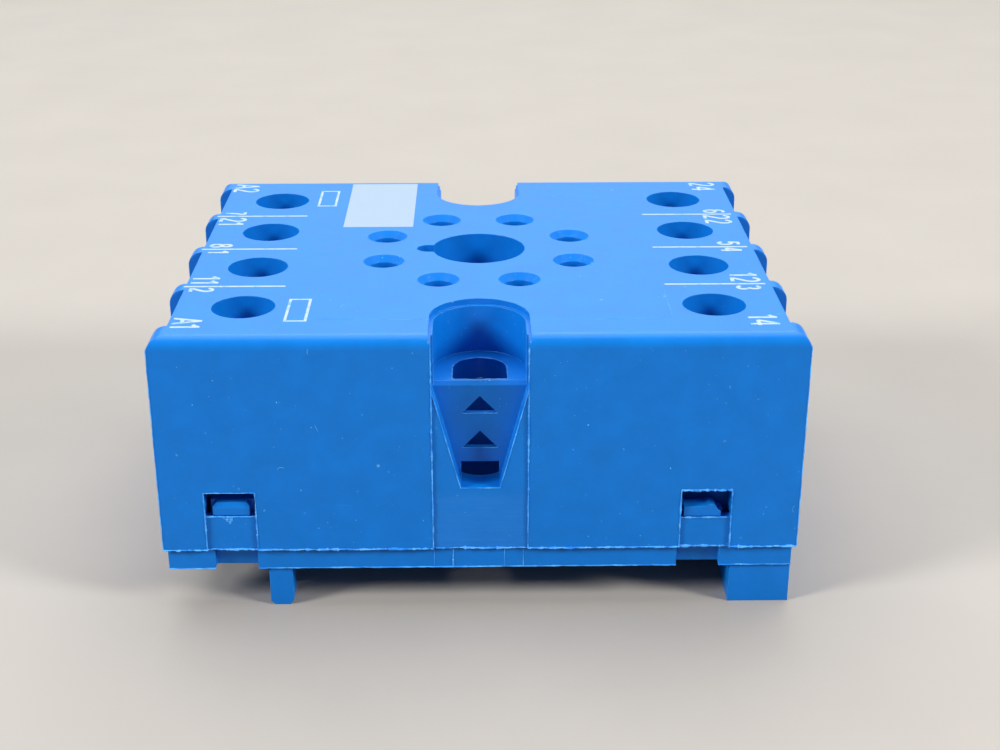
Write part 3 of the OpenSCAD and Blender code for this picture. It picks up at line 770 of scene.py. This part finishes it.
class SOCKET_OT_print(Operator):
    """Prints the numbers, the dividing lines, the writing field and the coil signs on the deck"""
    bl_idname = "relay_socket.print"
    bl_label = "Print"

    def execute(self, context):
        scene = context.scene
        sizes, finish = scene.socket_print, scene.socket_finish
        white = ink("White ink", sizes.ink, finish.plastic, 0.48)
        pale = ink("Field ink", sizes.field, finish.plastic, 0.30)
        bm = bmesh.new()
        for text, side, line, away in NUMBERS:
            column = sizes.right_column if side > 0 else -sizes.left_column
            add_text(bm, text, Vector((column, line * PITCH + away * MM, DECK_Z)), sizes)
        mesh_piece("contact_numbers", bm, "socket", "blue_plastic", white)

        bm = bmesh.new()
        for side, start in ((-1, sizes.left_line), (1, sizes.right_line)):
            for line in (-1, 0, 1):
                y = line * PITCH
                add_patch(bm, side * start, side * (start + sizes.line_long),
                          y - sizes.line / 2, y + sizes.line / 2, sizes.film)
        mesh_piece("dividing_lines", bm, "socket", "blue_plastic", white)

        bm = bmesh.new()
        add_patch(bm, *(v * MM for v in (*FIELD_X, *FIELD_Y)), sizes.film)
        mesh_piece("writing_field", bm, "socket", "blue_plastic", pale)

        bm = bmesh.new()
        for end in (-1, 1):
            add_frame(bm, *(v * MM for v in SIGN_X), *sorted(end * v * MM for v in SIGN_Y),
                      sizes.line * 0.8, sizes.film)
        mesh_piece("coil_signs", bm, "socket", "blue_plastic", white)
        return {"FINISHED"}


def arc(cx, cy, rx, ry, start, end):
    """Points along part of an ellipse, angles in degrees."""
    count = max(4, round(abs(end - start) / 15))
    turns = (math.radians(start + (end - start) * i / count) for i in range(count + 1))
    return [(cx + rx * math.cos(t), cy + ry * math.sin(t)) for t in turns]


# Middle lines of each character's strokes, in a cell one high; no stroke crosses itself
STROKES = {
    "A": [[(0.02, 0), (0.34, 1)], [(0.34, 1), (0.66, 0)], [(0.14, 0.33), (0.54, 0.33)]],
    "1": [[(0.38, 1), (0.38, 0)], [(0.10, 0.74), (0.25, 0.82), (0.38, 0.98)]],
    "2": [arc(0.31, 0.73, 0.25, 0.27, 165, -40) + [(0.07, 0.05)], [(0.03, 0.03), (0.60, 0.03)]],
    "3": [arc(0.29, 0.75, 0.23, 0.24, 155, -85), arc(0.29, 0.27, 0.27, 0.26, 85, -155)],
    "4": [[(0.46, 0), (0.46, 1)], [(0.44, 0.98), (0.03, 0.30)], [(0.01, 0.30), (0.64, 0.30)]],
    "5": [[(0.54, 0.97), (0.15, 0.97), (0.09, 0.50)], arc(0.31, 0.33, 0.26, 0.31, 145, -155)],
    "6": [arc(0.38, 0.60, 0.33, 0.39, 55, 178), arc(0.32, 0.31, 0.27, 0.29, 0, 360)],
    "7": [[(0.05, 0.97), (0.57, 0.97)], [(0.57, 0.95), (0.36, 0.55), (0.24, 0)]],
    "8": [arc(0.31, 0.76, 0.21, 0.22, 0, 360), arc(0.31, 0.28, 0.26, 0.26, 0, 360)],
}
GLYPH_MIDDLE = 0.32
GLYPH_WIDTH = 0.78      # width of a cell as a share of the character's height
NARROW, WIDE = 0.58, 0.80       # room that a 1 and any other character takes, in cells
# Numbers: text, side of the socket, dividing line counted from the middle, and millimetres from it
NUMBERS = (
    ("A1", -1, -2, 1.25), ("11", -1, -1, 1.5), ("2", -1, -1, -0.8), ("8", -1, 0, 0.95),
    ("1", -1, 0, -0.8), ("7", -1, 1, 0.85), ("21", -1, 1, -1.6), ("A2", -1, 2, -0.5),
    ("14", 1, -2, 1.25), ("12", 1, -1, 1.5), ("3", 1, -1, -0.9), ("5", 1, 0, 0.98),
    ("4", 1, 0, -0.75), ("6", 1, 1, 0.9), ("22", 1, 1, -1.6), ("24", 1, 2, -0.5),
)


def add_text(bm, text, spot, sizes):
    """Adds flat characters that read towards -Y with their tops towards +X."""
    height = sizes.height if len(text) > 1 else sizes.pin_height
    wide = height * GLYPH_WIDTH
    steps = [(NARROW if sign == "1" else WIDE) * wide for sign in text]
    start = -sum(steps) / 2
    for sign, step in zip(text, steps):
        for layer, stroke in enumerate(STROKES[sign], 1):
            path = [
                spot + Vector((
                    (y - 0.5) * height, -(start + step / 2 + (x - GLYPH_MIDDLE) * wide), 0
                ))
                for x, y in stroke
            ]
            add_ribbon(bm, path, sizes.stroke, sizes.film * (1 + 0.2 * layer))
        start += step


def add_ribbon(bm, path, width, film):
    """A flat printed stroke with mitred corners along a path on the deck."""
    sides = []
    for i, spot in enumerate(path):
        before = (spot - path[max(i - 1, 0)]).normalized()
        after = (path[min(i + 1, len(path) - 1)] - spot).normalized()
        along = (before + after).normalized()
        mitre = max(0.5, along.dot(after if i == 0 else before))
        across = Vector((-along.y, along.x, 0)) * width / 2 / mitre
        lift = Vector((0, 0, film / 2))
        sides.append([bm.verts.new(spot + a + b) for a, b in (
            (across, -lift), (-across, -lift), (-across, lift), (across, lift))])
    for low, high in zip(sides, sides[1:]):
        for k in range(4):
            bm.faces.new((low[k], low[(k + 1) % 4], high[(k + 1) % 4], high[k]))
    bm.faces.new(sides[0])
    bm.faces.new(sides[-1])


def add_patch(bm, x0, x1, y0, y1, film):
    """A thin printed rectangle on the deck."""
    x0, x1 = sorted((x0, x1))
    corners = [(x0, y0), (x1, y0), (x1, y1), (x0, y1)]
    low = [bm.verts.new((x, y, DECK_Z - film / 2)) for x, y in corners]
    high = [bm.verts.new((x, y, DECK_Z + film / 2)) for x, y in corners]
    bm.faces.new(low[::-1])
    bm.faces.new(high)
    for k in range(4):
        bm.faces.new((low[k], low[(k + 1) % 4], high[(k + 1) % 4], high[k]))


def add_frame(bm, x0, x1, y0, y1, line, film):
    """An outlined box, the plain sign for a coil."""
    add_patch(bm, x0, x1, y0, y0 + line, film)
    add_patch(bm, x0, x1, y1 - line, y1, film)
    add_patch(bm, x0, x0 + line, y0 + line, y1 - line, film)
    add_patch(bm, x1 - line, x1, y0 + line, y1 - line, film)


# Lamps: name, place in metres, width in metres, power in watts, colour
LAMPS = (
    ("left_softbox", (-0.55, -0.265, 0.34), 0.20, 4.5, (1.0, 0.99, 0.97)),
    ("right_softbox", (0.55, -0.265, 0.34), 0.20, 4.3, (1.0, 0.98, 0.95)),
    ("top_softbox", (0.0, 0.22, 0.55), 0.80, 5.7, (1.0, 1.0, 1.0)),
    ("rear_softbox", (0.0, 0.85, 0.46), 0.95, 2.0, (0.95, 0.98, 1.0)),
)
SKY, SKY_STRENGTH = (0.90, 0.95, 1.0), 0.12
BACKGROUND = (0.66, 0.63, 0.59)


class SOCKET_OT_stage(Operator):
    """Sets the floor, the lamps, the world and the camera"""
    bl_idname = "relay_socket.stage"
    bl_label = "Stage"

    def execute(self, context):
        scene = context.scene
        stage = scene.socket_stage
        half = stage.size / 2
        bm = bmesh.new()
        side = half * 0.75
        rise = [(-side, 0.0)] + [
            (half * 0.5 + math.sin(t) * half * 0.5, half * 0.5 - math.cos(t) * half * 0.5)
            for t in (math.pi / 2 * k / 16 for k in range(17))
        ] + [(half, half * 1.2)]
        rows = [[bm.verts.new((x, y, z)) for x in (-side, side)] for y, z in rise]
        for a, b in zip(rows, rows[1:]):
            bm.faces.new((a[0], a[1], b[1], b[0]))
        data = bpy.data.meshes.new("floor")
        bm.to_mesh(data)
        bm.free()
        for face in data.polygons:
            face.use_smooth = True
        floor = bpy.data.objects.new("floor", data)
        data.materials.append(floor_material(stage))
        scene.collection.objects.link(floor)

        aim = Vector((0, 0, DECK_Z / 2))
        for name, place, size, power, tint in LAMPS:
            light = bpy.data.lights.new(name, "AREA")
            light.shape = "DISK"
            light.size, light.energy, light.color = size, power, tint
            lamp = bpy.data.objects.new(name, light)
            lamp.location = place
            lamp.rotation_euler = (aim - Vector(place)).to_track_quat("-Z", "Y").to_euler()
            lamp.visible_camera = False
            scene.collection.objects.link(lamp)

        world = bpy.data.worlds.new("studio")
        world.use_nodes = True
        sky = world.node_tree.nodes["Background"]
        tree = world.node_tree
        path = tree.nodes.new("ShaderNodeLightPath").outputs
        mirrored = maths(tree, "MAXIMUM", path["Is Glossy Ray"], path["Is Transmission Ray"])
        seen = maths(tree, "MAXIMUM", path["Is Camera Ray"], mirrored)
        tree.links.new(blend_colours(tree, seen, rgba(SKY), rgba(BACKGROUND)), sky.inputs["Color"])
        gain = maths(tree, "MULTIPLY", seen, 1 - SKY_STRENGTH)
        tree.links.new(maths(tree, "ADD", gain, SKY_STRENGTH), sky.inputs["Strength"])
        scene.world = world

        camera = bpy.data.objects.new("camera", bpy.data.cameras.new("camera"))
        camera.data.lens = stage.lens
        camera.data.clip_start = 0.01
        camera.location = Vector(stage.camera) + Vector((0, 0, DECK_Z))
        camera.rotation_euler = (math.pi / 2 - stage.look_down, 0, stage.turn)
        scene.collection.objects.link(camera)
        scene.camera = camera
        scene.view_settings.view_transform = "Standard"
        return {"FINISHED"}


def floor_material(stage):
    made, tree, shader = new_material("Floor")
    place = place_of(tree)
    patch = ramp(tree, noise(tree, place, 60, 4), 0.3, 0.7)
    tone = blend_colours(tree, patch, rgba(stage.floor, 0.97), rgba(stage.floor, 1.02))
    tree.links.new(tone, shader.inputs["Base Color"])
    tree.links.new(maths(tree, "ADD", maths(tree, "MULTIPLY", patch, 0.1), 0.82),
                   shader.inputs["Roughness"])
    bump = add_node(tree, "ShaderNodeBump", {
        "Strength": 0.15, "Distance": 0.0001, "Height": noise(tree, place, 1200, 3),
    })
    tree.links.new(bump.outputs["Normal"], shader.inputs["Normal"])
    shader.inputs["Specular IOR Level"].default_value = 0.2
    return made


class SOCKET_PT_panel(Panel):
    """Lists the parts of the socket in the 3D view's sidebar"""
    bl_idname = "SOCKET_PT_panel"
    bl_label = "Relay socket"
    bl_space_type = "VIEW_3D"
    bl_region_type = "UI"
    bl_category = "Relay socket"

    def draw(self, context):
        for step in STEPS:
            self.layout.operator(step.bl_idname)


STEPS = (
    SOCKET_OT_plastic, SOCKET_OT_metal, SOCKET_OT_flash, SOCKET_OT_burrs, SOCKET_OT_dust,
    SOCKET_OT_print, SOCKET_OT_stage,
)
SETTINGS = {
    "socket_finish": SOCKET_PG_finish, "socket_print": SOCKET_PG_print,
    "socket_flash": SOCKET_PG_flash, "socket_stage": SOCKET_PG_stage,
}


def register():
    for item in (*SETTINGS.values(), *STEPS, SOCKET_PT_panel):
        bpy.utils.register_class(item)
    for name, group in SETTINGS.items():
        setattr(bpy.types.Scene, name, PointerProperty(type=group))


def unregister():
    for name in SETTINGS:
        delattr(bpy.types.Scene, name)
    for item in (SOCKET_PT_panel, *reversed(STEPS), *reversed(SETTINGS.values())):
        bpy.utils.unregister_class(item)


def main():
    register()
    for step in STEPS:
        group, name = step.bl_idname.split(".")
        getattr(getattr(bpy.ops, group), name)()


if __name__ == "__main__":
    main()
